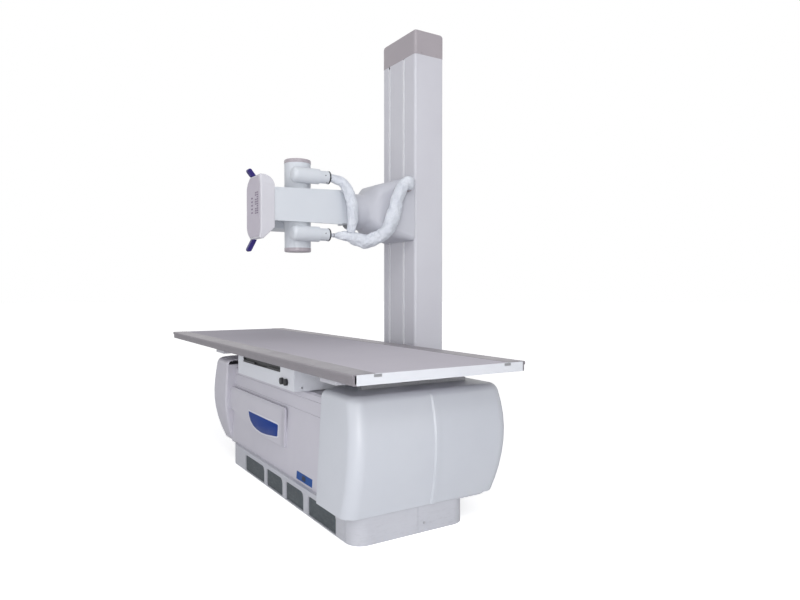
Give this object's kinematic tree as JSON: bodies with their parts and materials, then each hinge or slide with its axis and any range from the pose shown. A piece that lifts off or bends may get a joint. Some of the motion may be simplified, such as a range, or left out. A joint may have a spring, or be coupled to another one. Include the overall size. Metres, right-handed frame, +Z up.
{
  "type": "x-ray machine",
  "caption": "Medical x-ray machine: a floating-top bucky table with a rail-mounted column that carries a turning tube head, collimator and console.",
  "frame": {"origin": "on the floor, below the centre of the tabletop at rest", "axes": "+X along the tabletop away from its head end, +Y from the operator's side towards the column, +Z up"},
  "size_m": [2.7015, 1.068, 2.215],
  "materials": {
    "cover_plastic": "satin",
    "cover_plastic_light": "satin",
    "cap_plastic": "satin",
    "column_paint": "satin",
    "head_paint": "satin",
    "tabletop_laminate": "gloss",
    "rail_aluminium": "anodised satin",
    "end_cap_white": "satin",
    "toe_grey": "matte",
    "badge_blue": "gloss",
    "black_plastic": "matte",
    "tray_black": "satin",
    "indigo_plastic": "satin",
    "frame_steel": "satin",
    "bright_steel": "brushed",
    "weight_iron": "matte",
    "cable_sleeve": "wrinkled"
  },
  "bodies": {
    "table_base": {"base_frame": "frame_steel", "floor_skirt": "cover_plastic", "toe_panels": "toe_grey", "front_cover": "cover_plastic", "rear_cover": "cover_plastic", "right_front_cover": "cover_plastic_light", "right_rear_cover": "cover_plastic_light", "left_front_cover": "cover_plastic", "left_rear_cover": "cover_plastic", "badge_plate": "badge_blue", "label_plate": "badge_blue", "bucky_rails": "bright_steel", "cross_rails": "bright_steel", "cover_screws": "bright_steel", "floor_rail": "rail_aluminium", "rail_stops": "black_plastic"},
    "cross_carriage": {"cross_carriage": "head_paint", "guide_pads": "black_plastic"},
    "tabletop": {"tabletop_panel": "tabletop_laminate", "front_rail": "rail_aluminium", "rear_rail": "rail_aluminium", "right_end_cap": "end_cap_white", "left_end_cap": "end_cap_white", "clip_tabs": "rail_aluminium"},
    "bucky": {"bucky_housing": "head_paint", "grid_plate": "tabletop_laminate", "bucky_screws": "bright_steel"},
    "cassette_tray": {"cassette_tray": "tray_black"},
    "left_lock_knob": {"left_lock_knob": "black_plastic"},
    "right_lock_knob": {"right_lock_knob": "black_plastic"},
    "trolley": {"trolley_frame": "frame_steel", "trolley_cover": "cover_plastic", "column_post": "column_paint", "column_cap": "cap_plastic", "cap_screws": "bright_steel", "pulley_bracket": "frame_steel", "lift_rope": "bright_steel"},
    "left_wheelset": {"left_wheelset": "bright_steel"},
    "right_wheelset": {"right_wheelset": "bright_steel"},
    "rope_pulley": {"rope_pulley": "bright_steel"},
    "counterweight": {"counterweight": "weight_iron"},
    "arm_carriage": {"inner_carriage": "frame_steel", "arm_beam": "frame_steel", "arm_cover": "cover_plastic", "cable_gland": "cap_plastic", "hv_cable_upper": "cable_sleeve", "hv_cable_lower": "cable_sleeve"},
    "tube_head": {"head_yoke": "head_paint", "head_cover": "cover_plastic_light", "tube_housing": "head_paint", "upper_tube_cap": "cap_plastic", "lower_tube_cap": "cap_plastic", "cable_plugs": "head_paint", "console_body": "cover_plastic", "console_panel": "cap_plastic", "console_handles": "indigo_plastic"},
    "collimator": {"collimator_body": "head_paint"},
    "upper_field_knob": {"upper_field_knob": "black_plastic"},
    "lower_field_knob": {"lower_field_knob": "black_plastic"},
    "lamp_button": {"lamp_button": "indigo_plastic"}
  },
  "joints": [
    {"name": "table_float_across", "type": "slide", "parent": "table_base", "child": "cross_carriage", "axis": [0, 1, 0], "range_m": [-0.1, 0.12]},
    {"name": "table_float_along", "type": "slide", "parent": "cross_carriage", "child": "tabletop", "axis": [1, 0, 0], "range_m": [-0.12, 0.68]},
    {"name": "bucky_slide", "type": "slide", "parent": "table_base", "child": "bucky", "axis": [1, 0, 0], "range_m": [-0.22, 0.19]},
    {"name": "tray_slide", "type": "slide", "parent": "bucky", "child": "cassette_tray", "axis": [0, -1, 0], "range_m": [0, 0.4]},
    {"name": "left_lock_turn", "type": "hinge", "parent": "bucky", "child": "left_lock_knob", "pos_m": [0.523, -0.33, 0.504], "axis": [0, 1, 0], "range_deg": [0, 90]},
    {"name": "right_lock_turn", "type": "hinge", "parent": "bucky", "child": "right_lock_knob", "pos_m": [0.566, -0.33, 0.504], "axis": [0, 1, 0], "range_deg": [0, 90]},
    {"name": "column_travel", "type": "slide", "parent": "table_base", "child": "trolley", "axis": [1, 0, 0], "range_m": [-1.2, 0.2]},
    {"name": "left_wheels_roll", "type": "hinge", "parent": "trolley", "child": "left_wheelset", "pos_m": [-0.11, 0.6, 0.06402], "axis": [0, 1, 0], "range_deg": [-2900, 520]},
    {"name": "right_wheels_roll", "type": "hinge", "parent": "trolley", "child": "right_wheelset", "pos_m": [0.27, 0.6, 0.06402], "axis": [0, 1, 0], "range_deg": [-2900, 520]},
    {"name": "arm_lift", "type": "slide", "parent": "trolley", "child": "arm_carriage", "axis": [0, 0, 1], "range_m": [-0.3, 0.6], "deforming": ["lift_rope"]},
    {"name": "counterweight_slide", "type": "slide", "parent": "trolley", "child": "counterweight", "axis": [0, 0, 1], "range_m": [-0.6, 0.3]},
    {"name": "pulley_turn", "type": "hinge", "parent": "trolley", "child": "rope_pulley", "pos_m": [0.08, 0.597, 2.138], "axis": [1, 0, 0], "range_deg": [-780, 400]},
    {"name": "head_turn", "type": "hinge", "parent": "arm_carriage", "child": "tube_head", "pos_m": [0.082, 0.2, 1.281], "axis": [0, 1, 0], "range_deg": [-210, 30], "deforming": ["hv_cable_upper", "hv_cable_lower"]},
    {"name": "collimator_turn", "type": "hinge", "parent": "tube_head", "child": "collimator", "pos_m": [-0.045, -0.072, 1.281], "axis": [1, 0, 0], "range_deg": [-45, 45]},
    {"name": "upper_field_turn", "type": "hinge", "parent": "collimator", "child": "upper_field_knob", "pos_m": [-0.155, -0.172, 1.336], "axis": [0, 1, 0], "range_deg": [-150, 150]},
    {"name": "lower_field_turn", "type": "hinge", "parent": "collimator", "child": "lower_field_knob", "pos_m": [-0.155, -0.172, 1.226], "axis": [0, 1, 0], "range_deg": [-150, 150]},
    {"name": "lamp_press", "type": "slide", "parent": "collimator", "child": "lamp_button", "axis": [0, 1, 0], "range_m": [0, 0.003], "stiffness_N_per_m": 400}
  ],
  "couplings": [
    {"joint": "left_wheels_roll", "follows": "column_travel", "rad_per_m": 41.667},
    {"joint": "right_wheels_roll", "follows": "column_travel", "rad_per_m": 41.667},
    {"joint": "counterweight_slide", "follows": "arm_lift", "ratio": -1},
    {"joint": "pulley_turn", "follows": "arm_lift", "rad_per_m": -22.222}
  ]
}
